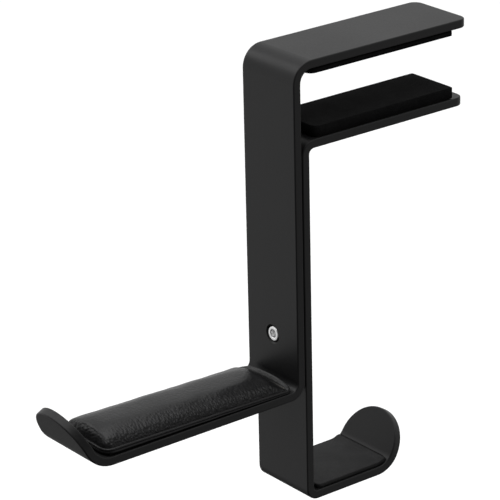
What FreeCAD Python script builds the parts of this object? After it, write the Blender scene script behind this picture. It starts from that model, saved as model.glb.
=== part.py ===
import FreeCAD, Part
import math, os
from FreeCAD import Vector as V

# Clamp-on headphone hook made of two bent flat strips that slide face to face.
# Working frame while building (mm): X across the strip, centred; Y = 0 on the front
# strip's front face and +Y towards the desk; Z = 0 on the underside of the rear hook.
# At the end everything is moved so that the origin is the middle of the upper jaw
# pad's underside, the face that rests on the desk top. +Z is up.

# ---------------------------------------------------------------- driving sizes
W = 30.0              # strip width
T = 3.4               # strip thickness, coating included
GAP = 0.3             # running gap between the two strips
EDGE = 0.5            # rounding along every strip edge

TOP_Z = 176.6         # top face of the upper jaw
TOP_END_Y = 84.8      # far end of the upper jaw
TOP_BEND = 5.0        # inner radius, upper jaw to front strip
JAW_CORNER = 4.0      # plan corner radius at both jaw ends

ARM_Z = 44.4          # underside of the long arm
ARM_BEND = 3.0        # inner radius, front strip to arm
LIP_BEND_Y = -85.4    # where the arm starts to curl up
LIP_BEND = 9.2        # inner radius of the curl
LIP_ANGLE = 62.8      # how far the lip is turned up from the arm
LIP_R = 15.0          # round end of the lip
LIP_REACH = 19.85     # from the corner where arm and lip would meet to the tip

LOW_Z = 142.6         # underside of the lower jaw
LOW_END_Y = 83.2      # far end of the lower jaw
LOW_BEND = 2.2        # inner radius, lower jaw to rear strip
HOOK_BEND = 2.0       # inner radius, rear strip to hook floor
HLIP_BEND_Y = 39.4    # where the hook floor starts to curl up
HLIP_BEND = 7.6
HLIP_ANGLE = 58.0
HLIP_R = 15.0
HLIP_REACH = 18.85

# clamp screw, M4 with a small low head
SCREW_Z = 66.4
HEAD_R = 3.0
HEAD_H = 2.0
CBORE_R = 3.3
CBORE_DEPTH = 2.2
CBORE_CHAMFER = 0.55
CLEAR_R = 2.15        # clearance hole in the front strip
THREAD_R = 2.0
SCREW_END_Y = 13.6
HEX_AF = 3.0
HEX_DEPTH = 1.3

# slide travel of the rear bracket (desk 10 to 40 mm thick)
TRAVEL_UP = 10.0
TRAVEL_DOWN = 20.0
SLOT_W = 4.6
RIB_W = 4.4
RIB_HALF = 5.5
NUT_W = 10.0
NUT_H = 14.0
NUT_T = 2.8
NUT_BORE_R = 2.05
SEAT = 0.05           # running gap between slot nut and rear strip

# jaw pads
UP_PAD_Y0, UP_PAD_Y1 = 8.0, 77.4
UP_PAD_Z = 171.0      # underside, rests on the desk
UP_TAPE = 0.25
LOW_PAD_Y0, LOW_PAD_Y1 = 10.0, 77.8
LOW_PAD_X0, LOW_PAD_X1 = -9.0, 14.4   # narrower than the jaw and stuck on off the middle
LOW_PAD_TOP = 150.6
LOW_TAPE = 0.3
PAD_HALF = 14.5
PAD_CORNER = 3.0      # corners next to the strip
PAD_END = 0.8         # corners at the far end, nearly square

# hook pad
HOOK_PAD_Y0 = 9.6
HOOK_PAD_T = 1.6
HOOK_TAPE = 0.2
HOOK_PAD_HALF = 14.2
HOOK_PAD_TURN = 38.0  # how far the pad follows the curl

# arm cushion
CU_HALF = 14.8        # half width over the pressed rim
CU_Y0, CU_Y1 = -88.7, -2.4
CU_RISE = 0.95        # degrees, the lip end stands higher
CU_SEAT = 0.25        # tape thickness at the strip end
LINING_T = 0.5
BOARD_T = 0.8
RIM_T = 0.8
CROWN_HALF = 13.4
CROWN_SIDE = 3.0
CROWN_TOP = 6.2
COVER_T = 0.8

ORIGIN = V(0.0, 42.5, UP_PAD_Z)


# ---------------------------------------------------------------- helpers
def unit(a, b):
    l = math.hypot(b[0] - a[0], b[1] - a[1])
    return ((b[0] - a[0]) / l, (b[1] - a[1]) / l)


def offset_poly(pts, d):
    """Polyline moved by d to its left, mitred at its corners."""
    out = []
    n = len(pts)
    for i in range(n):
        if i == 0:
            u = unit(pts[0], pts[1]); out.append((pts[0][0] - u[1] * d, pts[0][1] + u[0] * d))
        elif i == n - 1:
            u = unit(pts[-2], pts[-1]); out.append((pts[-1][0] - u[1] * d, pts[-1][1] + u[0] * d))
        else:
            u = unit(pts[i - 1], pts[i]); v = unit(pts[i], pts[i + 1])
            nx, nz = -u[1] - v[1], u[0] + v[0]
            k = d / (1.0 + (u[0] * v[0] + u[1] * v[1]))
            out.append((pts[i][0] + nx * k, pts[i][1] + nz * k))
    return out


def rounded_edges(pts, radii, x):
    """Lines and tangent arcs through pts in the plane X = x."""
    edges = []
    cur = pts[0]
    for i in range(1, len(pts) - 1):
        p, r = pts[i], radii[i - 1]
        u = unit(pts[i - 1], p); v = unit(p, pts[i + 1])
        cr = u[0] * v[1] - u[1] * v[0]
        turn = math.acos(max(-1.0, min(1.0, u[0] * v[0] + u[1] * v[1])))
        t = r * math.tan(turn / 2.0)
        a = (p[0] - u[0] * t, p[1] - u[1] * t)
        b = (p[0] + v[0] * t, p[1] + v[1] * t)
        s = 1.0 if cr > 0 else -1.0
        c = (a[0] - u[1] * r * s, a[1] + u[0] * r * s)
        mid = ((a[0] + b[0]) / 2.0 - c[0], (a[1] + b[1]) / 2.0 - c[1])
        ml = math.hypot(*mid)
        m = (c[0] + mid[0] / ml * r, c[1] + mid[1] / ml * r)
        edges.append(Part.LineSegment(V(x, *cur), V(x, *a)).toShape())
        edges.append(Part.Arc(V(x, *a), V(x, *m), V(x, *b)).toShape())
        cur = b
    edges.append(Part.LineSegment(V(x, *cur), V(x, *pts[-1])).toShape())
    return edges


def band(pts, inner, thick, half):
    """A bent flat strip: pts are one face in (y, z), material on the left."""
    other = offset_poly(pts, thick)
    ra, rb = [], []
    for i in range(1, len(pts) - 1):
        u = unit(pts[i - 1], pts[i]); v = unit(pts[i], pts[i + 1])
        left = u[0] * v[1] - u[1] * v[0] > 0
        r = inner[i - 1]
        ra.append(r + thick if left else r)
        rb.append(r if left else r + thick)
    x = -half
    ea = rounded_edges(pts, ra, x)
    eb = rounded_edges(other, rb, x)
    cap0 = Part.LineSegment(V(x, *pts[0]), V(x, *other[0])).toShape()
    cap1 = Part.LineSegment(V(x, *pts[-1]), V(x, *other[-1])).toShape()
    wire = Part.Wire(Part.__sortEdges__(ea + eb + [cap0, cap1]))
    return Part.Face(wire).extrude(V(2.0 * half, 0, 0))


def place(shape, origin, ux, uy, uz):
    """Put a shape built at the world origin on the local axes ux, uy, uz at origin."""
    m = FreeCAD.Matrix(ux.x, uy.x, uz.x, origin.x,
                       ux.y, uy.y, uz.y, origin.y,
                       ux.z, uy.z, uz.z, origin.z,
                       0, 0, 0, 1)
    s = shape.copy()
    s.transformShape(m)
    return s


def round_end(shape, centre, direction, r):
    """Round a strip's end to radius r about centre (y, z); direction points to the tip."""
    u = V(0, direction[0], direction[1])
    n = V(0, -direction[1], direction[0])
    x = V(1, 0, 0)
    block = Part.makeBox(2 * r + 8, r + 12, 24, V(-r - 4, 0, -12))
    disc = Part.makeCylinder(r, 30, V(0, 0, -15), V(0, 0, 1))
    tool = block.cut(disc)
    return shape.cut(place(tool, V(0, *centre), x, u, x.cross(u)))


def round_corners(shape, end_y, z, r):
    """Plan corner radius r at a horizontal jaw's far end."""
    for s in (-1, 1):
        cx, cy = s * (W / 2 - r), end_y - r
        x0 = cx if s > 0 else cx - r - 2
        block = Part.makeBox(r + 2, r + 2, 20, V(x0, cy, z - 10))
        disc = Part.makeCylinder(r, 20, V(cx, cy, z - 10), V(0, 0, 1))
        shape = shape.cut(block.cut(disc))
    return shape


def normal_at(face, p):
    u, v = face.Surface.parameter(p)
    return face.normalAt(u, v)


def sharp_edges(shape, limit=35.0):
    out = []
    for e in shape.Edges:
        fs = shape.ancestorsOfType(e, Part.Face)
        if len(fs) != 2:
            continue
        p = e.valueAt((e.FirstParameter + e.LastParameter) / 2.0)
        a = math.degrees(normal_at(fs[0], p).getAngle(normal_at(fs[1], p)))
        if a > limit:
            out.append(e)
    return out


def soften(shape, r, name):
    """Round every sharp edge; a smaller radius is tried if the first fails."""
    for k in (1.0, 0.8, 0.6):
        try:
            s = shape.makeFillet(r * k, sharp_edges(shape))
            if s.isValid() and len(s.Solids) == 1 and s.Volume > 0.9 * shape.Volume:
                return s.Solids[0]
        except Exception:
            pass
    print("soften failed on", name)
    return shape


def plan_slab(half, y0, y1, z0, z1, r_front, r_far):
    """Flat slab with its own plan corner radii at its two ends."""
    f, b = r_front, r_far
    h = half
    q = math.sqrt(0.5)
    def arc(cx, cy, r, a):
        a0, a1, a2 = [math.radians(t) for t in (a, a + 45, a + 90)]
        return Part.Arc(V(cx + r * math.cos(a0), cy + r * math.sin(a0), z0),
                        V(cx + r * math.cos(a1), cy + r * math.sin(a1), z0),
                        V(cx + r * math.cos(a2), cy + r * math.sin(a2), z0)).toShape()
    def line(a, c):
        return Part.LineSegment(V(a[0], a[1], z0), V(c[0], c[1], z0)).toShape()
    edges = [arc(h - b, y1 - b, b, 0), line((h - b, y1), (-h + b, y1)),
             arc(-h + b, y1 - b, b, 90), line((-h, y1 - b), (-h, y0 + f)),
             arc(-h + f, y0 + f, f, 180), line((-h + f, y0), (h - f, y0)),
             arc(h - f, y0 + f, f, 270), line((h, y0 + f), (h, y1 - b))]
    return Part.Face(Part.Wire(Part.__sortEdges__(edges))).extrude(V(0, 0, z1 - z0))


def crown_bar(half, z0, side, top, y0, y1):
    """Bar with upright sides and a low arched top, along Y."""
    pts = [V(-half, y0, z0), V(half, y0, z0), V(half, y0, side)]
    e = [Part.LineSegment(pts[0], pts[1]).toShape(), Part.LineSegment(pts[1], pts[2]).toShape(),
         Part.Arc(V(half, y0, side), V(0, y0, top), V(-half, y0, side)).toShape(),
         Part.LineSegment(V(-half, y0, side), V(-half, y0, z0)).toShape()]
    return Part.Face(Part.Wire(e)).extrude(V(0, y1 - y0, 0))


parts = {}

# ---------------------------------------------------------------- front bracket
# one strip: upper jaw, front strip, long arm, curled round lip
th = math.radians(LIP_ANGLE)
t_lip = LIP_BEND * math.tan(th / 2)
arm_top = ARM_Z + T
vert = (LIP_BEND_Y - t_lip, arm_top)
lip_dir = (-math.cos(th), math.sin(th))
tip = (vert[0] + LIP_REACH * lip_dir[0], vert[1] + LIP_REACH * lip_dir[1])
face_a = [(TOP_END_Y, TOP_Z), (0.0, TOP_Z), (0.0, arm_top), vert, tip]
front = band(face_a, [TOP_BEND, ARM_BEND, LIP_BEND], T, W / 2)
disc_c = (tip[0] - LIP_R * lip_dir[0], tip[1] - LIP_R * lip_dir[1])
front = round_end(front, disc_c, lip_dir, LIP_R)
front = round_corners(front, TOP_END_Y, TOP_Z, JAW_CORNER)
front = soften(front, EDGE, "front_bracket")
# counterbored hole with a countersunk mouth for the clamp screw
front = front.cut(Part.makeCylinder(CBORE_R, CBORE_DEPTH + 1, V(0, -1, SCREW_Z), V(0, 1, 0)))
front = front.cut(Part.makeCylinder(CLEAR_R, T + 2, V(0, -1, SCREW_Z), V(0, 1, 0)))
front = front.cut(Part.makeCone(CBORE_R + CBORE_CHAMFER + 0.2, CBORE_R, CBORE_CHAMFER + 0.2,
                                V(0, -0.2, SCREW_Z), V(0, 1, 0)))
parts["front_bracket"] = front

# ---------------------------------------------------------------- rear bracket
# one strip: lower jaw, slotted rear strip, hook floor, curled round lip
Y1 = T + GAP                    # front face of the rear strip
th2 = math.radians(HLIP_ANGLE)
t2 = HLIP_BEND * math.tan(th2 / 2)
vert2 = (HLIP_BEND_Y + t2, T)
dir2 = (math.cos(th2), math.sin(th2))
tip2 = (vert2[0] + HLIP_REACH * dir2[0], vert2[1] + HLIP_REACH * dir2[1])
# inner face of the C, from the jaw's far end down to the lip
inner = [(LOW_END_Y, LOW_Z), (Y1 + T, LOW_Z), (Y1 + T, T), vert2, tip2]
rear = band(list(reversed(inner)), [HLIP_BEND, HOOK_BEND, LOW_BEND], T, W / 2)
disc2 = (tip2[0] - HLIP_R * dir2[0], tip2[1] - HLIP_R * dir2[1])
rear = round_end(rear, disc2, dir2, HLIP_R)
rear = round_corners(rear, LOW_END_Y, LOW_Z + T, JAW_CORNER)
rear = soften(rear, EDGE, "rear_bracket")
slot_lo = SCREW_Z - RIB_HALF - 0.1 - TRAVEL_UP
slot_hi = SCREW_Z + RIB_HALF + 0.1 + TRAVEL_DOWN
sr = SLOT_W / 2


def obround(r, z0, z1, y0, y1):
    body = Part.makeBox(2 * r, y1 - y0, z1 - z0 - 2 * r, V(-r, y0, z0 + r))
    lo = Part.makeCylinder(r, y1 - y0, V(0, y0, z0 + r), V(0, 1, 0))
    hi = Part.makeCylinder(r, y1 - y0, V(0, y0, z1 - r), V(0, 1, 0))
    return body.fuse(lo).fuse(hi).removeSplitter()


rear = rear.cut(obround(sr, slot_lo, slot_hi, Y1 - 1, Y1 + T + 1))
parts["rear_bracket"] = rear

# ---------------------------------------------------------------- clamp screw and slot nut
head_y0 = CBORE_DEPTH - 0.03 - HEAD_H
head = Part.makeCylinder(HEAD_R, HEAD_H, V(0, head_y0, SCREW_Z), V(0, 1, 0))
rim = [e for e in head.Edges if abs(e.CenterOfMass.y - head_y0) < 1e-6 and e.Curve.TypeId.endswith("Circle")]
head = head.makeChamfer(0.35, rim)
shank = Part.makeCylinder(THREAD_R, SCREW_END_Y - head_y0 - HEAD_H + 0.2,
                          V(0, head_y0 + HEAD_H - 0.2, SCREW_Z), V(0, 1, 0))
tip_edge = [e for e in shank.Edges if abs(e.CenterOfMass.y - SCREW_END_Y) < 1e-6 and e.Curve.TypeId.endswith("Circle")]
shank = shank.makeChamfer(0.4, tip_edge)
screw = head.fuse(shank).removeSplitter()
hexpts = [V(HEX_AF / math.sqrt(3) * math.sin(math.radians(60 * i)), head_y0 - 1,
            SCREW_Z + HEX_AF / math.sqrt(3) * math.cos(math.radians(60 * i))) for i in range(6)]
hexw = Part.makePolygon(hexpts + [hexpts[0]])
screw = screw.cut(Part.Face(hexw).extrude(V(0, 1 + HEX_DEPTH, 0)))
parts["clamp_screw"] = screw

ny0 = Y1 + T + SEAT
plate = Part.makeBox(NUT_W, NUT_T, NUT_H, V(-NUT_W / 2, ny0, SCREW_Z - NUT_H / 2))
up_edges = [e for e in plate.Edges if abs(e.BoundBox.YLength - NUT_T) < 1e-6]
plate = plate.makeFillet(1.5, up_edges)
back = [e for e in plate.Edges if abs(e.BoundBox.YMin - (ny0 + NUT_T)) < 1e-6 and abs(e.BoundBox.YMax - (ny0 + NUT_T)) < 1e-6]
plate = plate.makeChamfer(0.4, back)
rib = obround(RIB_W / 2, SCREW_Z - RIB_HALF, SCREW_Z + RIB_HALF, Y1 + 0.7, ny0 + 0.2)
nut = plate.fuse(rib).removeSplitter()
nut = nut.cut(Part.makeCylinder(NUT_BORE_R, 20, V(0, 0, SCREW_Z), V(0, 1, 0)))
parts["slot_nut"] = nut

# ---------------------------------------------------------------- jaw pads, each on its tape
up_under = TOP_Z - T
parts["upper_jaw_tape"] = plan_slab(PAD_HALF - 0.6, UP_PAD_Y0 + 0.6, UP_PAD_Y1 - 0.6, up_under - UP_TAPE, up_under, 2.4, 0.6)
parts["upper_jaw_pad"] = plan_slab(PAD_HALF, UP_PAD_Y0, UP_PAD_Y1, UP_PAD_Z, up_under - UP_TAPE, PAD_CORNER, PAD_END)
low_top = LOW_Z + T
low_half = (LOW_PAD_X1 - LOW_PAD_X0) / 2.0
low_mid = V((LOW_PAD_X1 + LOW_PAD_X0) / 2.0, 0, 0)
low_tape = plan_slab(low_half - 0.6, LOW_PAD_Y0 + 0.6, LOW_PAD_Y1 - 0.6, low_top, low_top + LOW_TAPE, 2.4, 0.6)
low_pad = plan_slab(low_half, LOW_PAD_Y0, LOW_PAD_Y1, low_top + LOW_TAPE, LOW_PAD_TOP, PAD_CORNER, PAD_END)
low_tape.translate(low_mid)
low_pad.translate(low_mid)
parts["lower_jaw_tape"] = low_tape
parts["lower_jaw_pad"] = low_pad

# ---------------------------------------------------------------- hook pad, follows the start of the curl
def hook_layer(lift, thick, half, y0):
    r = HLIP_BEND - lift                     # radius of this layer's underside
    a = math.radians(HOOK_PAD_TURN)
    z = T + lift
    x = -half
    cy, cz = HLIP_BEND_Y, T + HLIP_BEND
    def on(rad, ang):
        return V(x, cy + rad * math.sin(ang), cz - rad * math.cos(ang))
    e = [Part.LineSegment(V(x, y0, z), V(x, cy, z)).toShape(),
         Part.Arc(on(r, 0), on(r, a / 2), on(r, a)).toShape(),
         Part.LineSegment(on(r, a), on(r - thick, a)).toShape(),
         Part.Arc(on(r - thick, a), on(r - thick, a / 2), on(r - thick, 0)).toShape(),
         Part.LineSegment(V(x, cy, z + thick), V(x, y0, z + thick)).toShape(),
         Part.LineSegment(V(x, y0, z + thick), V(x, y0, z)).toShape()]
    return Part.Face(Part.Wire(Part.__sortEdges__(e))).extrude(V(2 * half, 0, 0))


parts["hook_tape"] = hook_layer(0.0, HOOK_TAPE, HOOK_PAD_HALF - 0.6, HOOK_PAD_Y0 + 0.6)
parts["hook_pad"] = hook_layer(HOOK_TAPE, HOOK_PAD_T, HOOK_PAD_HALF, HOOK_PAD_Y0)

# ---------------------------------------------------------------- arm cushion
# built level on the arm's top face, then turned so that its lip end stands higher
base = arm_top + CU_SEAT
piv = V(0, CU_Y1, base)
rise = math.radians(CU_RISE)


def tilt(s):
    s = s.copy()
    s.rotate(piv, V(1, 0, 0), -CU_RISE)
    return s


lining = plan_slab(CU_HALF, CU_Y0, CU_Y1, base, base + LINING_T, 5.0, 3.0)
z1 = base + LINING_T
rim_slab = plan_slab(CU_HALF, CU_Y0, CU_Y1, z1, z1 + RIM_T, 5.0, 3.0)
crown = crown_bar(CROWN_HALF, z1, base + CROWN_SIDE, base + CROWN_TOP, CU_Y0 + 1.4, CU_Y1 - 0.6)
crown = crown.common(plan_slab(CROWN_HALF, CU_Y0 + 1.4, CU_Y1 - 0.6, z1 - 1, base + CROWN_TOP + 1, 4.0, 2.5))
hollow = crown_bar(CROWN_HALF - COVER_T, z1, base + CROWN_SIDE - 0.3, base + CROWN_TOP - COVER_T,
                   CU_Y0 + 1.4 + COVER_T, CU_Y1 - 0.6 - COVER_T)
hollow = hollow.common(plan_slab(CROWN_HALF - COVER_T, CU_Y0 + 1.4 + COVER_T, CU_Y1 - 0.6 - COVER_T,
                                 z1 - 1, base + CROWN_TOP + 1, 3.2, 1.7))
cover = rim_slab.fuse(crown).removeSplitter().cut(hollow)
board = hollow.common(Part.makeBox(60, 200, BOARD_T, V(-30, -150, z1)))
foam = hollow.cut(Part.makeBox(60, 200, BOARD_T + 1, V(-30, -150, z1 - 1)))
parts["cushion_lining"] = tilt(lining)
parts["cushion_board"] = tilt(board)
parts["cushion_foam"] = tilt(foam)
parts["cushion_cover"] = tilt(cover)
ty0, ty1 = CU_Y0 + 3.0, CU_Y1 - 2.0


def under(y):
    """Height of the cushion's underside at y."""
    return base + (CU_Y1 - y) * math.tan(rise)


tw = [V(-13.0, ty0, arm_top), V(-13.0, ty1, arm_top), V(-13.0, ty1, under(ty1)), V(-13.0, ty0, under(ty0))]
parts["cushion_tape"] = Part.Face(Part.makePolygon(tw + [tw[0]])).extrude(V(26.0, 0, 0))

# ---------------------------------------------------------------- write
os.makedirs("parts", exist_ok=True)
for name, s in parts.items():
    s = s.copy()
    s.translate(V(-ORIGIN.x, -ORIGIN.y, -ORIGIN.z))
    if len(s.Solids) == 1:
        s = s.Solids[0]
    bb = s.BoundBox
    print("%-16s solids %d valid %s vol %.1f  x %.2f..%.2f y %.2f..%.2f z %.2f..%.2f" % (
        name, len(s.Solids), s.isValid(), s.Volume, bb.XMin, bb.XMax, bb.YMin, bb.YMax, bb.ZMin, bb.ZMax))
    s.exportStep("parts/%s.step" % name)
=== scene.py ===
import bpy
import math
import random
from mathutils import Matrix, Vector, noise


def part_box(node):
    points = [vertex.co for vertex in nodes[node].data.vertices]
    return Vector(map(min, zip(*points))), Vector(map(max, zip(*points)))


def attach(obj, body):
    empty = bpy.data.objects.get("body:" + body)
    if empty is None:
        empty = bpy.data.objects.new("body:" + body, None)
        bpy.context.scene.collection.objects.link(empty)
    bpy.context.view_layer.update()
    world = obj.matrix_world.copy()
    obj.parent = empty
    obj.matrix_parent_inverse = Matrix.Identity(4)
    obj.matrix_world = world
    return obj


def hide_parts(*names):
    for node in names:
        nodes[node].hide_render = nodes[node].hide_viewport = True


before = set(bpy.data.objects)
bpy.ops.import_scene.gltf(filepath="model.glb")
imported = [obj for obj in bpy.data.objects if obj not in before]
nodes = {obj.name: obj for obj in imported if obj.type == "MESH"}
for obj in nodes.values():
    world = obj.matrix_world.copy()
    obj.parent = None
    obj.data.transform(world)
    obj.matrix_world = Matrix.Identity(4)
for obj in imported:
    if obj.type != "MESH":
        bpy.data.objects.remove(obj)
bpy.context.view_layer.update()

MM = 0.001
scene = bpy.context.scene


# ------------------------------------------------------------------ small helpers
def clamp(v, a=0.0, b=1.0):
    return a if v < a else b if v > b else v


def smooth(t):
    t = clamp(t)
    return t * t * (3.0 - 2.0 * t)


def wave(x, y, z, size, seed=0.0):
    """Smooth noise from -1 to 1 with features about size millimetres across."""
    return noise.noise(Vector((x / size + seed, y / size - seed * 0.7, z / size + seed * 1.3)))


def mesh_object(name, verts, faces, smooth_faces=True):
    me = bpy.data.meshes.new(name)
    me.from_pydata([tuple(c * MM for c in v) for v in verts], [], faces)
    me.validate()
    me.update()
    if smooth_faces:
        me.polygons.foreach_set("use_smooth", [True] * len(me.polygons))
    o = bpy.data.objects.new(name, me)
    scene.collection.objects.link(o)
    return o


def give(o, mat):
    o.data.materials.clear()
    o.data.materials.append(mat)


def subdivided(o, levels):
    """One round of subdivision, applied, so that the piece is a plain mesh."""
    m = o.modifiers.new("round", "SUBSURF")
    m.levels = levels
    m.render_levels = levels
    dg = bpy.context.evaluated_depsgraph_get()
    me = bpy.data.meshes.new_from_object(o.evaluated_get(dg))
    old = o.data
    o.modifiers.clear()
    o.data = me
    bpy.data.meshes.remove(old)
    return o


# ------------------------------------------------------------------ materials
class Nodes:
    """A short way to write a node material."""

    def __init__(self, name):
        self.mat = bpy.data.materials.new(name)
        self.mat.use_nodes = True
        self.tree = self.mat.node_tree
        self.tree.nodes.clear()
        self.out = self.tree.nodes.new("ShaderNodeOutputMaterial")
        self.bsdf = self.tree.nodes.new("ShaderNodeBsdfPrincipled")
        self.tree.links.new(self.bsdf.outputs[0], self.out.inputs[0])
        self.coord = self.tree.nodes.new("ShaderNodeTexCoord").outputs["Object"]

    def link(self, a, b):
        self.tree.links.new(a, b)

    def set(self, **kw):
        for k, v in kw.items():
            self.bsdf.inputs[k.replace("_", " ")].default_value = v

    def mapping(self, scale=(1, 1, 1), rotation=(0, 0, 0)):
        n = self.tree.nodes.new("ShaderNodeMapping")
        n.inputs["Scale"].default_value = scale
        n.inputs["Rotation"].default_value = rotation
        self.link(self.coord, n.inputs["Vector"])
        return n.outputs[0]

    def noise(self, size, detail=3.0, rough=0.55, vector=None, distort=0.0):
        """Noise with features about size metres across, 0 to 1."""
        n = self.tree.nodes.new("ShaderNodeTexNoise")
        n.inputs["Scale"].default_value = 1.0 / size
        n.inputs["Detail"].default_value = detail
        n.inputs["Roughness"].default_value = rough
        n.inputs["Distortion"].default_value = distort
        self.link(vector or self.coord, n.inputs["Vector"])
        return n.outputs["Fac"]

    def cells(self, size, feature="F1", smoothness=None, vector=None, randomness=1.0):
        n = self.tree.nodes.new("ShaderNodeTexVoronoi")
        n.feature = feature
        n.inputs["Scale"].default_value = 1.0 / size
        n.inputs["Randomness"].default_value = randomness
        if smoothness is not None:
            n.inputs["Smoothness"].default_value = smoothness
        self.link(vector or self.coord, n.inputs["Vector"])
        return n.outputs["Distance"]

    def span(self, fac, lo, hi, from_lo=0.0, from_hi=1.0, clampit=True):
        n = self.tree.nodes.new("ShaderNodeMapRange")
        n.clamp = clampit
        for k, v in (("From Min", from_lo), ("From Max", from_hi), ("To Min", lo), ("To Max", hi)):
            n.inputs[k].default_value = v
        self.link(fac, n.inputs["Value"])
        return n.outputs[0]

    def math(self, op, a, b):
        n = self.tree.nodes.new("ShaderNodeMath")
        n.operation = op
        for i, v in enumerate((a, b)):
            if isinstance(v, (int, float)):
                n.inputs[i].default_value = v
            else:
                self.link(v, n.inputs[i])
        return n.outputs[0]

    def ramp(self, fac, stops):
        n = self.tree.nodes.new("ShaderNodeValToRGB")
        el = n.color_ramp.elements
        el[0].position, el[0].color = stops[0][0], (*stops[0][1], 1)
        el[1].position, el[1].color = stops[-1][0], (*stops[-1][1], 1)
        for p, c in stops[1:-1]:
            e = el.new(p)
            e.color = (*c, 1)
        self.link(fac, n.inputs["Fac"])
        return n.outputs["Color"]

    def bump(self, height, distance, strength=1.0, normal=None):
        n = self.tree.nodes.new("ShaderNodeBump")
        n.inputs["Strength"].default_value = strength
        n.inputs["Distance"].default_value = distance
        self.link(height, n.inputs["Height"])
        if normal is not None:
            self.link(normal, n.inputs["Normal"])
        return n.outputs[0]

    def base(self, color):
        self.link(color, self.bsdf.inputs["Base Color"])

    def rough(self, value):
        self.link(value, self.bsdf.inputs["Roughness"])

    def normal(self, value):
        self.link(value, self.bsdf.inputs["Normal"])


def powder_coat():
    """Satin black powder coat: fine orange peel, a little speckle, very even colour."""
    m = Nodes("powder_coat_black")
    cloud = m.noise(0.045, 2.0)
    fine = m.noise(0.0006, 3.0, 0.6)
    m.base(m.ramp(m.math("ADD", m.math("MULTIPLY", cloud, 0.6), m.math("MULTIPLY", fine, 0.4)),
                  [(0.30, (0.0080, 0.0080, 0.0083)), (0.70, (0.0125, 0.0125, 0.0129))]))
    m.rough(m.span(m.math("ADD", m.math("MULTIPLY", fine, 0.5), m.math("MULTIPLY", cloud, 0.5)), 0.34, 0.46, 0.3, 0.7))
    peel = m.noise(0.0011, 2.0, 0.5)
    grit = m.cells(0.00042, "SMOOTH_F1", 0.6)
    n = m.bump(peel, 0.000035, 0.55)
    n = m.bump(grit, 0.000022, 0.5, n)
    m.normal(n)
    m.set(Specular_IOR_Level=0.235)
    return m.mat


def leather(name, grain=1.0):
    """Black pebble-grain leather. It is stretched nearly smooth over the crown and keeps
    its grain, about a millimetre across, on the sides where it is gathered into the seam. Its base colour is painted
    darker in the grain's pits and on the slopes that face sideways: painted shade."""
    m = Nodes(name)
    v = m.mapping((0.62, 1.0, 0.8))
    big = m.cells(0.00095, "SMOOTH_F1", 0.25, v)
    small = m.cells(0.00048, "SMOOTH_F1", 0.35, v)
    cloud = m.noise(0.012, 3.0)
    sep = m.tree.nodes.new("ShaderNodeSeparateXYZ")
    tc = m.tree.nodes.new("ShaderNodeTexCoord")
    m.link(tc.outputs["Normal"], sep.inputs[0])
    facing_up = sep.outputs["Z"]
    at = m.tree.nodes.new("ShaderNodeSeparateXYZ")
    m.link(m.coord, at.inputs[0])
    off_rim = m.span(at.outputs["Y"], 1.0, 0.12, -0.0475, -0.0468)
    off_rim = m.math("MULTIPLY", off_rim, m.span(at.outputs["Y"], 0.35, 1.0, -0.1300, -0.1265))
    off_rim = m.math("MULTIPLY", off_rim, m.span(m.math("ABSOLUTE", at.outputs["X"], 0.0), 1.0, 0.15, 0.0131, 0.0136))
    # side is high where the surface faces sideways and low where it faces up. It deepens the grain there and, through
    # the base colour below, paints shade on the crown's sides
    side = m.span(m.math("ADD", facing_up, m.math("MULTIPLY", m.math("SUBTRACT", cloud, 0.5), 0.10)), 1.0, 0.16, 0.72, 0.975)
    h = m.math("ADD", m.math("MULTIPLY", big, 0.85), m.math("MULTIPLY", small, 0.30))
    grain_depth_and_painted_shade = m.math("MULTIPLY", m.math("MULTIPLY", h, side), off_rim)
    # painted shade: the base colour darkens in the grain's pits, and most on the side-facing slopes of the crown
    m.base(m.ramp(grain_depth_and_painted_shade, [(0.10, (0.0100, 0.0100, 0.0104)), (0.35, (0.0060, 0.0060, 0.0063)), (0.60, (0.0020, 0.0020, 0.0022))]))
    m.rough(m.span(m.math("ADD", m.math("MULTIPLY", grain_depth_and_painted_shade, 0.6), m.math("MULTIPLY", cloud, 0.4)), 0.31, 0.50, 0.2, 0.7))
    n = m.bump(m.math("MULTIPLY", grain_depth_and_painted_shade, -1.0), 0.00046 * grain, 1.0)
    n = m.bump(m.noise(0.00030, 2.0, 0.6), 0.00004, 0.5, n)
    m.normal(n)
    m.set(Specular_IOR_Level=0.24)
    return m.mat


def rubber_foam(name, tone, pore=0.00045, rough=(0.82, 0.95), depth=0.00008, shine=0.04):
    """Closed-cell foam rubber: matt, with small irregular cells and soft mottling."""
    m = Nodes(name)
    cells = m.cells(pore, "F1")
    fine = m.noise(pore * 0.6, 3.0, 0.65)
    cloud = m.noise(0.009, 3.0)
    t = tone
    m.base(m.ramp(m.math("ADD", m.math("MULTIPLY", cells, 0.4), m.math("MULTIPLY", cloud, 0.6)),
                  [(0.32, (t * 0.60, t * 0.60, t * 0.62)), (0.68, (t * 1.5, t * 1.5, t * 1.53))]))
    m.rough(m.span(fine, rough[0], rough[1], 0.3, 0.7))
    n = m.bump(cells, depth, 0.7)
    n = m.bump(fine, depth * 0.35, 0.6, n)
    m.normal(n)
    m.set(Specular_IOR_Level=shine)
    return m.mat


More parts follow.
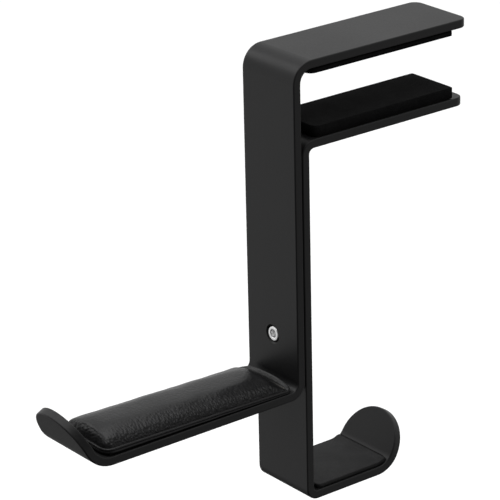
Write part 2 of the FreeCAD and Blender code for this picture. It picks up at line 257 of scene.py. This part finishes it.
def steel(name, tone, rough, rings=False, centre=None):
    """Machined, zinc-plated steel with turning or rolling marks."""
    m = Nodes(name)
    m.set(Metallic=1.0)
    cloud = m.noise(0.0016, 3.0)
    m.base(m.ramp(cloud, [(0.3, tuple(c * 0.78 for c in tone)), (0.7, tone)]))
    fine = m.noise(0.00018, 3.0, 0.6, m.mapping((1, 1, 0.12)) if not rings else None)
    m.rough(m.span(fine, rough[0], rough[1], 0.3, 0.7))
    if rings:
        w = m.tree.nodes.new("ShaderNodeTexWave")
        w.wave_type = "RINGS"
        w.rings_direction = "SPHERICAL"
        w.inputs["Scale"].default_value = 1600.0
        w.inputs["Distortion"].default_value = 0.6
        mp = m.tree.nodes.new("ShaderNodeMapping")
        mp.inputs["Location"].default_value = tuple(-c for c in centre)
        m.link(m.coord, mp.inputs["Vector"])
        m.link(mp.outputs[0], w.inputs["Vector"])
        n = m.bump(w.outputs["Fac"], 0.000006, 0.5)
    else:
        n = m.bump(fine, 0.000012, 0.5)
    m.normal(n)
    return m.mat


def tape_mat():
    m = Nodes("tape_black")
    weave = m.noise(0.00035, 3.0, 0.6)
    crease = m.noise(0.0022, 3.0, 0.6, m.mapping((1, 0.3, 1)))
    m.base(m.ramp(weave, [(0.3, (0.006, 0.006, 0.0065)), (0.7, (0.013, 0.013, 0.014))]))
    m.rough(m.span(crease, 0.5, 0.72, 0.3, 0.7))
    m.normal(m.bump(m.math("ADD", m.math("MULTIPLY", weave, 0.4), crease), 0.00004, 0.6))
    m.set(Specular_IOR_Level=0.35)
    return m.mat


def board_mat():
    m = Nodes("board_grey")
    fibre = m.noise(0.0005, 4.0, 0.6, m.mapping((1, 0.25, 1)))
    m.base(m.ramp(fibre, [(0.3, (0.035, 0.033, 0.030)), (0.7, (0.060, 0.057, 0.052))]))
    m.rough(m.span(fibre, 0.7, 0.9, 0.3, 0.7))
    m.normal(m.bump(fibre, 0.00005, 0.6))
    return m.mat


M_COAT = powder_coat()
M_LEATHER = leather("leather_black_grain")
M_LINING = leather("lining_black_smooth", 0.35)
M_JAW = rubber_foam("jaw_foam_black", 0.0065)
M_HOOK = rubber_foam("hook_foam_black", 0.012, 0.00035, (0.62, 0.78), 0.00004, 0.2)
M_CORE = rubber_foam("cushion_fill_grey", 0.06, 0.0006, (0.85, 0.97), 0.0001)
M_TAPE = tape_mat()
M_BOARD = board_mat()

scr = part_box("clamp_screw")
SCREW_Y0 = scr[0].y / MM              # front of the head
SCREW_Y1 = scr[1].y / MM              # end of the thread
SCREW_Z = (scr[0].z + scr[1].z) / 2 / MM
M_SCREW = steel("screw_zinc_bright", (0.97, 0.97, 0.97), (0.24, 0.36), True, (0.0, SCREW_Y0 * MM, SCREW_Z * MM))
M_NUT = steel("nut_zinc_dull", (0.40, 0.40, 0.41), (0.32, 0.5))

for n in ("front_bracket", "rear_bracket"):
    give(nodes[n], M_COAT)
give(nodes["slot_nut"], M_NUT)
for n in ("upper_jaw_tape", "lower_jaw_tape", "hook_tape", "cushion_tape"):
    give(nodes[n], M_TAPE)
give(nodes["cushion_board"], M_BOARD)


# ------------------------------------------------------------------ a slab grid with rounded plan corners
def stations(length_a, length_b, insets, step):
    """Coordinates from length_a to length_b, close together near both ends."""
    lo = [length_a + i for i in insets]
    hi = [length_b - i for i in reversed(insets)]
    gap = hi[0] - lo[-1]
    n = max(1, int(round(gap / step)))
    mid = [lo[-1] + gap * k / n for k in range(1, n)]
    return lo + mid + hi


def slab(name, half, y0, y1, r_a, r_b, insets, step, top, bottom, place, step_x=None):
    """A closed slab. top(x, y, d) and bottom(x, y, d) give heights, where d is the
    distance in from the outline. place(x, y, z) puts a point in the row frame (mm)."""
    xs = stations(-half, half, insets, step_x or step)
    ys = stations(y0, y1, insets, step)
    nx, ny = len(xs), len(ys)

    def planned(x, y):
        dx = half - abs(x)
        front = y < (y0 + y1) / 2
        dy = (y - y0) if front else (y1 - y)
        r = r_a if front else r_b
        if dx < r and dy < r:
            a, b = (r - dx) / r, (r - dy) / r
            rho = max(a, b)
            if rho > 1e-9:
                phi = (math.pi / 4) * (b / a) if a >= b else math.pi / 2 - (math.pi / 4) * (a / b)
                px = half - r + r * rho * math.cos(phi)
                py = r - r * rho * math.sin(phi)
                return (math.copysign(px, x), y0 + py if front else y1 - py, r * (1 - rho))
        return (x, y, min(dx, dy))

    verts, faces = [], []
    top_id, bot_id = {}, {}
    for j, y in enumerate(ys):
        for i, x in enumerate(xs):
            px, py, d = planned(x, y)
            top_id[i, j] = len(verts)
            verts.append(place(px, py, top(px, py, d)))
    for j, y in enumerate(ys):
        for i, x in enumerate(xs):
            if i in (0, nx - 1) or j in (0, ny - 1):
                bot_id[i, j] = top_id[i, j]
                continue
            px, py, d = planned(x, y)
            bot_id[i, j] = len(verts)
            verts.append(place(px, py, bottom(px, py, d)))
    for j in range(ny - 1):
        for i in range(nx - 1):
            faces.append((top_id[i, j], top_id[i + 1, j], top_id[i + 1, j + 1], top_id[i, j + 1]))
            faces.append((bot_id[i, j], bot_id[i, j + 1], bot_id[i + 1, j + 1], bot_id[i + 1, j]))
    return mesh_object(name, verts, faces)


def edge_curve(d, r, t0, t1, side):
    """Height at distance d in from the outline, for a slab from t0 to t1 with edges
    rounded to r. The outline itself is the middle of the side."""
    mid = (t0 + t1) / 2
    if d <= 1e-6:
        return mid
    k = clamp(d / r)
    q = math.sqrt(max(0.0, 1 - (1 - k) ** 2))
    flat = r
    if side > 0:
        return (t1 - flat) + flat * q if d < r else t1
    return (t0 + flat) - flat * q if d < r else t0


# ------------------------------------------------------------------ jaw pads
def jaw_pad(node, name, edge, seed, crown):
    lo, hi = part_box(node)
    half = (hi.x - lo.x) / 2 / MM
    mid = (hi.x + lo.x) / 2 / MM
    y0, y1 = lo.y / MM, hi.y / MM
    z0, z1 = lo.z / MM, hi.z / MM

    def top(x, y, d):
        z = edge_curve(d, edge, z0, z1, 1)
        return z + (wave(x, y, 0, 9.0, seed) * 0.03 - 0.03 - crown * (1 - smooth(d / 7.0)) if d > 0.01 else 0.0)

    def bottom(x, y, d):
        z = edge_curve(d, edge * 0.6, z0, z1, -1)
        return z

    def place(x, y, z):
        # cut by hand: the sides wander by a few hundredths
        k = 1.0 - 0.0022 * (0.5 + 0.5 * wave(x, y, z, 14.0, seed + 3.0))
        return (mid + x * k, y0 + (y - y0) * (1 - 0.0006 * (1 + wave(x, 0, z, 8.0, seed + 5.0))), z)

    ins = [0.0, edge * 0.08, edge * 0.3, edge * 0.62, edge, edge * 1.7, 2.0, 3.0]
    o = slab(name, half, y0, y1, 3.0, 0.8, ins, 1.6, top, bottom, place)
    give(o, M_JAW)
    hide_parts(node)
    return o


upper = jaw_pad("upper_jaw_pad", "upper_jaw_pad_foam", 0.18, 11.0, 0.02)
lower = jaw_pad("lower_jaw_pad", "lower_jaw_pad_foam", 0.28, 23.0, 0.04)
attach(upper, "front_frame")
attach(lower, "rear_frame")

# ------------------------------------------------------------------ hook pad, laid along the floor and up the curl
hlo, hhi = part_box("hook_pad")
H_HALF = (hhi.x - hlo.x) / 2 / MM
H_Y0 = hlo.y / MM
H_BASE = hlo.z / MM                    # underside of the pad
H_T = 1.6
H_R = 7.6 - 0.2                        # radius of its underside in the curl
H_BEND_Y = -3.1                        # where the curl starts
H_TURN = math.radians(43.0)
H_LEN = (H_BEND_Y - H_Y0) + H_R * H_TURN


def hook_place(x, s, t):
    """s runs along the pad's underside, t is the height above it."""
    s0 = H_BEND_Y - H_Y0
    if s <= s0:
        return (x, H_Y0 + s, H_BASE + t)
    a = (s - s0) / H_R
    r = H_R - t
    return (x, H_BEND_Y + r * math.sin(a), H_BASE + H_R - r * math.cos(a))


def hook_top(x, y, d):
    z = edge_curve(d, 0.4, 0.0, H_T, 1)
    z -= 0.75 * smooth((1.7 - (H_LEN - y)) / 1.7) * clamp(d / 0.3)
    return z + (0.03 * wave(x, y, 0, 8.0, 41.0) - 0.03 if d > 0.01 else 0.0)


hook = slab("hook_pad_foam", H_HALF, 0.0, H_LEN, 2.0, 2.0, [0.0, 0.04, 0.14, 0.27, 0.4, 0.8, 1.4, 2.0],
            1.2, hook_top, lambda x, y, d: edge_curve(d, 0.25, 0.0, H_T, -1), hook_place)
give(hook, M_HOOK)
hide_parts("hook_pad")
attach(hook, "rear_frame")

# ------------------------------------------------------------------ arm cushion
# local heights are above the cushion's underside; the whole cushion is turned a
# little so that its lip end stands higher
CU_HALF = 14.8
CU_Y0, CU_Y1 = -131.2, -44.9
CU_BASE = -122.95
RISE = math.radians(0.95)
CREASE = 1.25                          # rim width, out to in
END_RIM = 2.0                          # rim width where it climbs the bend at the strip


def tilted(x, y, z):
    dy = y - CU_Y1
    return (x, CU_Y1 + dy * math.cos(RISE) + z * math.sin(RISE), CU_BASE - dy * math.sin(RISE) + z * math.cos(RISE))


def along(y, pts):
    for (a, va), (b, vb) in zip(pts, pts[1:]):
        if y <= b:
            return va + (vb - va) * smooth((y - a) / (b - a)) if y > a else va
    return pts[-1][1]


def end_arch(x):
    """How far the rim stands up against the strip, at the strip end."""
    return 2.1 * max(0.0, 1 - abs(x / 14.7) ** 2.3)


def crown_height(x, y, d, lift=0.0):
    qr = CU_Y1 - y
    qf = y - CU_Y0
    htop = along(y, [(-131.0, 5.85), (-118.0, 6.0), (-100.0, 5.9), (-76.0, 5.5), (-52.0, 5.1), (-45.0, 4.4)])
    wall = math.sqrt(max(0.0, 1 - (1 - clamp((d - CREASE) / 2.5)) ** 2))
    wall = min(wall, clamp((qr - END_RIM) / 5.5) ** 0.7)
    arch = 1 - 0.44 * clamp(abs(x) / 13.3) ** 2.5
    front = 1 - 0.16 * (1 - clamp(qf / 9.0)) ** 2
    rear = 1 - 0.10 * (1 - clamp(qr / 10.0)) ** 2
    base = 0.92 + 0.12 * end_arch(x) * smooth((7.5 - qr) / 6.0)
    return base + max(0.15, htop * arch * front * rear - base) * wall


def rim_wave(x, y):
    return 0.11 * wave(x * 0.5, y, 0, 6.0, 7.0) + 0.06 * wave(x, y, 0, 2.6, 9.0)


def cover_top(x, y, d):
    qr = CU_Y1 - y
    up = end_arch(x) * clamp((END_RIM - 0.1 - qr) / 1.7)
    if d < CREASE or qr < END_RIM:
        z = 0.5 + 0.8 + up
        if d < 1e-6:
            return 0.5 + 0.40 + up * 0.5 + rim_wave(x, y) * 0.4
        if d < 0.55:
            k = d / 0.55
            z = 0.90 + up * 0.93 + 0.45 * math.sqrt(max(0.0, 1 - (1 - k) ** 2))
        elif qr > END_RIM and d > 0.75:
            z = z - 0.42 * smooth((d - 0.75) / 0.4)
        elif qr <= END_RIM and qr > 1.3:
            z = z - 0.40 * smooth((qr - 1.3) / 0.6)
        return z + rim_wave(x, y)
    return crown_height(x, y, d) + rim_wave(x, y) * (1 - smooth((d - CREASE) / 2.0))


def cover_bottom(x, y, d):
    k = clamp(d / 0.25)
    return 0.90 - 0.40 * math.sqrt(max(0.0, 1 - (1 - k) ** 2)) + rim_wave(x, y) * 0.5 * (1 - smooth(d / 3.0))


def cover_place(x, y, z):
    # the long edges wander slightly and draw in a little between the corners
    mid = 1 - ((y - (CU_Y0 + CU_Y1) / 2) / ((CU_Y1 - CU_Y0) / 2)) ** 2
    k = 1 - 0.010 * mid * smooth((abs(x) - 8) / 6.0) - 0.006 * (0.5 + 0.5 * wave(math.copysign(3.0, x), y, 0, 7.0, 13.0))
    return tilted(x * k, y, z)


CU_INS = [0.0, 0.06, 0.16, 0.3, 0.45, 0.6, 0.8, 1.0, 1.15, 1.25, 1.38, 1.6, 1.9, 2.1, 2.5, 3.0, 3.7, 4.6]
cover = slab("cushion_cover_leather", CU_HALF, CU_Y0, CU_Y1, 4.3, 3.0, CU_INS, 1.15,
             cover_top, cover_bottom, cover_place)


def inflate(o, free, cap_mm, seed_frames=20):
    """Cloth with a little air pressure: the crown fills out between its creases.
    It runs on a copy twenty times larger, because cloth settings suit large pieces,
    and the movement of each point is capped when it is brought back."""
    big = 20.0
    me = o.data.copy()
    me.transform(Matrix.Scale(big, 4))
    c = bpy.data.objects.new("cloth_work", me)
    scene.collection.objects.link(c)
    pin = c.vertex_groups.new(name="pin")
    for i, w in enumerate(free):
        pin.add([i], 1.0 - w, "REPLACE")
    m = c.modifiers.new("Cloth", "CLOTH")
    s = m.settings
    s.quality = 6
    s.mass = 0.4
    s.tension_stiffness = 22
    s.compression_stiffness = 22
    s.shear_stiffness = 8
    s.bending_stiffness = 1.6
    s.air_damping = 2.0
    s.vertex_group_mass = "pin"
    s.pin_stiffness = 1.0
    s.use_pressure = True
    s.uniform_pressure_force = 4.0
    s.shrink_min = -0.012
    s.effector_weights.gravity = 0.0
    m.collision_settings.use_collision = False
    m.collision_settings.use_self_collision = False
    m.point_cache.frame_start = 1
    m.point_cache.frame_end = seed_frames
    for f in range(1, seed_frames + 1):
        scene.frame_set(f)
    dg = bpy.context.evaluated_depsgraph_get()
    res = c.evaluated_get(dg).to_mesh()
    cap = cap_mm * MM
    move = [(a.co / big - v.co) * w for v, a, w in zip(o.data.vertices, res.vertices, free)]
    near = [[] for _ in move]
    for e in o.data.edges:
        a, b = e.vertices
        near[a].append(b)
        near[b].append(a)
    for _ in range(10):                # the pull of the filling evens out small creases
        move = [(d * 0.5 + sum((move[k] for k in ks), Vector()) * (0.5 / len(ks))) * (1.0 if w > 0 else 0.0)
                for d, ks, w in zip(move, near, free)]
    worst = max(d.length for d in move)
    for v, d in zip(o.data.vertices, move):
        if d.length > 1e-12:
            v.co = v.co + d * (min(d.length, cap) / d.length)
    bpy.data.objects.remove(c)
    scene.frame_set(1)
    o.data.update()
    print("cloth moved at most %.2f mm, capped at %.2f" % (worst / MM, cap_mm))


def cover_freedom():
    """0 on the rim and underside, 1 over the crown."""
    out = []
    for v in cover.data.vertices:
        x, y, z = v.co / MM
        zl = z - CU_BASE + (y - CU_Y1) * math.sin(RISE)
        dx = 13.3 - abs(x)
        dy = min(y - (CU_Y0 + 1.5), (CU_Y1 - 1.5) - y)
        inside = smooth(min(dx, dy) / 1.4)
        out.append(inside if zl > 1.6 else 0.0)
    return out


inflate(cover, cover_freedom(), 0.7)
subdivided(cover, 1)
give(cover, M_LEATHER)
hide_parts("cushion_cover")
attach(cover, "front_frame")

# filling, inside the cover
core = slab("cushion_foam_core", CU_HALF - 2.5, CU_Y0 + 2.7, CU_Y1 - 4.2, 3.0, 2.0, [0.0, 0.1, 0.3, 0.6, 1.0, 1.6, 2.0, 3.0], 2.4,
            lambda x, y, d: 1.7 if d < 1e-6 else max(1.75, (crown_height(x, y, d + 2.2) - 1.15)),
            lambda x, y, d: 1.7 - 0.25 * clamp(d / 0.3), tilted)
give(core, M_CORE)
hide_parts("cushion_foam")
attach(core, "front_frame")

# lining: the lower layer of the rim, trimmed just outside the leather
def hem(y, d):
    """The lining is folded under along its edge; the fold is thicker towards the lip."""
    gap = 0.25 + (CU_Y1 - y) * math.sin(RISE)
    return clamp(gap * 0.55 - 0.12, 0.0, 0.80) * (1 - smooth((d - 1.25) / 0.4))


def lining_ripple(x, y, d):
    return 0.10 * wave(x * 0.4, y, 0, 5.0, 31.0) * (1 - smooth(d / 3.0))


def lining_top(x, y, d):
    mid = 0.22 - 0.5 * hem(y, d)
    k = math.sqrt(max(0.0, 1 - (1 - clamp(d / 0.45)) ** 2))
    return mid + (0.44 - mid) * k + lining_ripple(x, y, d)


def lining_bottom(x, y, d):
    mid = 0.22 - 0.5 * hem(y, d)
    k = math.sqrt(max(0.0, 1 - (1 - clamp(d / 0.45)) ** 2))
    return mid - (mid - 0.05 + hem(y, d)) * k + lining_ripple(x, y, d)


lining = slab("cushion_lining_layer", CU_HALF - 0.12, CU_Y0 + 0.1, CU_Y1 - 0.1, 4.3, 3.0,
              [0.0, 0.06, 0.16, 0.3, 0.45, 0.8, 1.25, 1.65, 2.2, 3.2, 5.0], 1.6, lining_top, lining_bottom, tilted)
give(lining, M_LINING)
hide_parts("cushion_lining")
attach(lining, "front_frame")


# ------------------------------------------------------------------ clamp screw: knurled head, hex socket, real thread
def build_screw():
    n = 96
    verts, faces = [], []
    head_r, thread_r, pitch = 3.0, 2.0, 0.7
    y0 = SCREW_Y0
    apothem = 1.5

    def hexr(t):
        a = (t + math.pi / 6) % (math.pi / 3) - math.pi / 6
        return apothem / math.cos(a)

    rings = []

    def ring(fn):
        ids = []
        for i in range(n):
            t = 2 * math.pi * i / n
            r, y = fn(t)
            ids.append(len(verts))
            verts.append((r * math.sin(t), y, SCREW_Z + r * math.cos(t)))
        rings.append(ids)

    # socket, from its bottom out to the face
    ring(lambda t: (0.25, y0 + 1.72))
    ring(lambda t: (1.30, y0 + 1.36))
    ring(lambda t: (hexr(t) - 0.04, y0 + 1.30))
    ring(lambda t: (hexr(t), y0 + 1.22))
    ring(lambda t: (hexr(t), y0 + 0.22))
    ring(lambda t: (hexr(t) * 0.5 + 0.5 * 1.80 + 0.04, y0 + 0.07))
    ring(lambda t: (1.93, y0 + 0.0))
    ring(lambda t: (2.55, y0 + 0.0))
    ring(lambda t: (2.72, y0 + 0.05))
    ring(lambda t: (2.90, y0 + 0.22))
    ring(lambda t: (2.97, y0 + 0.40))
    knurl = lambda t: head_r - 0.05 * (0.5 + 0.5 * math.cos(24 * t))
    ring(lambda t: (knurl(t), y0 + 0.55))
    ring(lambda t: (knurl(t), y0 + 1.80))
    ring(lambda t: (2.90, y0 + 1.96))
    ring(lambda t: (2.75, y0 + 2.0))
    ring(lambda t: (2.20, y0 + 2.0))
    ring(lambda t: (1.98, y0 + 2.06))
    ring(lambda t: (1.78, y0 + 2.3))
    a = y0 + 2.5
    end = SCREW_Y1
    step = pitch / 9.0
    while a < end - 0.55:
        fade = smooth((a - (y0 + 2.5)) / 0.7)

        def prof(t, a=a, fade=fade):
            ph = (a / pitch - t / (2 * math.pi)) % 1.0
            tri = 1 - abs(2 * ph - 1)
            tri = clamp((tri - 0.10) / 0.78)
            return (1.62 + (thread_r - 1.62) * tri * fade + 0.16 * (1 - fade), a)

        ring(prof)
        a += step
    ring(lambda t: (1.62, end - 0.40))
    ring(lambda t: (1.50, end - 0.14))
    ring(lambda t: (1.30, end - 0.02))
    ring(lambda t: (0.30, end))
    for p, q in zip(rings, rings[1:]):
        for i in range(n):
            j = (i + 1) % n
            faces.append((p[i], p[j], q[j], q[i]))
    faces.append(tuple(reversed(rings[0])))
    faces.append(tuple(rings[-1]))
    o = mesh_object("clamp_screw_threaded", verts, faces)
    me = o.data
    me.polygons.foreach_set("use_smooth", [True] * len(me.polygons))
    import bmesh
    bm = bmesh.new()
    bm.from_mesh(me)
    bmesh.ops.recalc_face_normals(bm, faces=bm.faces)
    for e in bm.edges:
        if len(e.link_faces) == 2 and e.calc_face_angle(0) > math.radians(38):
            e.smooth = False
    bm.to_mesh(me)
    bm.free()
    return o


screw = build_screw()
give(screw, M_SCREW)
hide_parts("clamp_screw")
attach(screw, "screw")

# ------------------------------------------------------------------ camera
A, E, ROLL = math.radians(52.268), math.radians(21.847), math.radians(-1.314)
back = Vector((math.sin(A) * math.cos(E), -math.cos(A) * math.cos(E), math.sin(E)))
right = Vector((math.cos(A), math.sin(A), 0))
up = back.cross(right)
c, s = math.cos(ROLL), math.sin(ROLL)
right2, up2 = right * c + up * s, up * c - right * s
cam_data = bpy.data.cameras.new("camera")
cam_data.sensor_width = 36.0
cam_data.lens = 36.0 * 2854.013 / 500.0
cam_data.clip_start, cam_data.clip_end = 0.02, 60.0
cam = bpy.data.objects.new("camera", cam_data)
scene.collection.objects.link(cam)
pos = Vector((775.700, -652.598, 325.365)) * MM
cam.matrix_world = Matrix(((right2.x, up2.x, back.x, pos.x), (right2.y, up2.y, back.y, pos.y),
                           (right2.z, up2.z, back.z, pos.z), (0, 0, 0, 1)))
scene.camera = cam
scene.view_settings.view_transform = "Standard"
scene.view_settings.look = "None"
scene.view_settings.exposure = 0.0
scene.view_settings.gamma = 1.0


# ------------------------------------------------------------------ floor and light
def floor():
    z = -0.30
    n, r = 48, 6.0
    verts, faces = [], []
    rings = [0.6, 1.5, 3.0, r]
    verts.append((0, 0, z / MM))
    for q in rings:
        for i in range(n):
            t = 2 * math.pi * i / n
            verts.append((q / MM * math.cos(t), q / MM * math.sin(t), z / MM))
    for i in range(n):
        faces.append((0, 1 + i, 1 + (i + 1) % n))
    for k in range(len(rings) - 1):
        for i in range(n):
            a, b = 1 + k * n + i, 1 + k * n + (i + 1) % n
            faces.append((a, b, b + n, a + n) if False else (a, a + n, b + n, b))
    o = mesh_object("floor", verts, faces)
    m = Nodes("floor_pale")
    m.base(m.ramp(m.noise(0.5, 2.0), [(0.3, (0.93, 0.93, 0.93)), (0.7, (0.95, 0.95, 0.95))]))
    m.set(Roughness=0.9, Specular_IOR_Level=0.1)
    give(o, m.mat)
    o.visible_glossy = False
    o.visible_diffuse = False
    return o


floor()

def studio():
    """Pale walls and ceiling, darker towards the ground and to the right."""
    w = bpy.data.worlds.new("studio")
    scene.world = w
    w.use_nodes = True
    t = w.node_tree
    bg = t.nodes["Background"]
    bg.inputs["Color"].default_value = (1, 1, 1, 1)
    co = t.nodes.new("ShaderNodeTexCoord").outputs["Generated"]

    def dot(v):
        n = t.nodes.new("ShaderNodeVectorMath")
        n.operation = "DOT_PRODUCT"
        t.links.new(co, n.inputs[0])
        n.inputs[1].default_value = v
        return n.outputs["Value"]

    def span(v, a, b, lo, hi):
        n = t.nodes.new("ShaderNodeMapRange")
        n.interpolation_type = "SMOOTHSTEP"
        for k, q in (("From Min", a), ("From Max", b), ("To Min", lo), ("To Max", hi)):
            n.inputs[k].default_value = q
        t.links.new(v, n.inputs["Value"])
        return n.outputs[0]

    def times(a, b):
        n = t.nodes.new("ShaderNodeMath")
        n.operation = "MULTIPLY"
        t.links.new(a, n.inputs[0])
        t.links.new(b, n.inputs[1])
        return n.outputs[0]

    level = times(span(dot((0, 0, 1)), -0.79, -0.36, 0.05, 0.78), span(dot((0.79, 0.61, 0)), -0.5, 0.9, 1.0, 0.72))
    level = times(level, span(dot((0.79, -0.61, 0)), 0.35, 0.75, 1.0, 0.22))
    t.links.new(level, bg.inputs["Strength"])


studio()


def softbox(name, where, at, size, power, size_y=None):
    d = bpy.data.lights.new(name, "AREA")
    d.shape = "RECTANGLE"
    d.size = size
    d.size_y = size_y or size
    d.energy = power
    o = bpy.data.objects.new(name, d)
    scene.collection.objects.link(o)
    o.location = where
    o.rotation_mode = "QUATERNION"
    o.rotation_quaternion = (Vector(where) - Vector(at)).to_track_quat("Z", "Y")
    o.visible_camera = False
    return o


softbox("overhead", (0.0, 0.0, 2.6), (0, 0, -0.3), 3.0, 60.0)
softbox("left_front", (-0.88, -0.42, 0.66), (0, -0.04, -0.05), 0.5, 1.6)
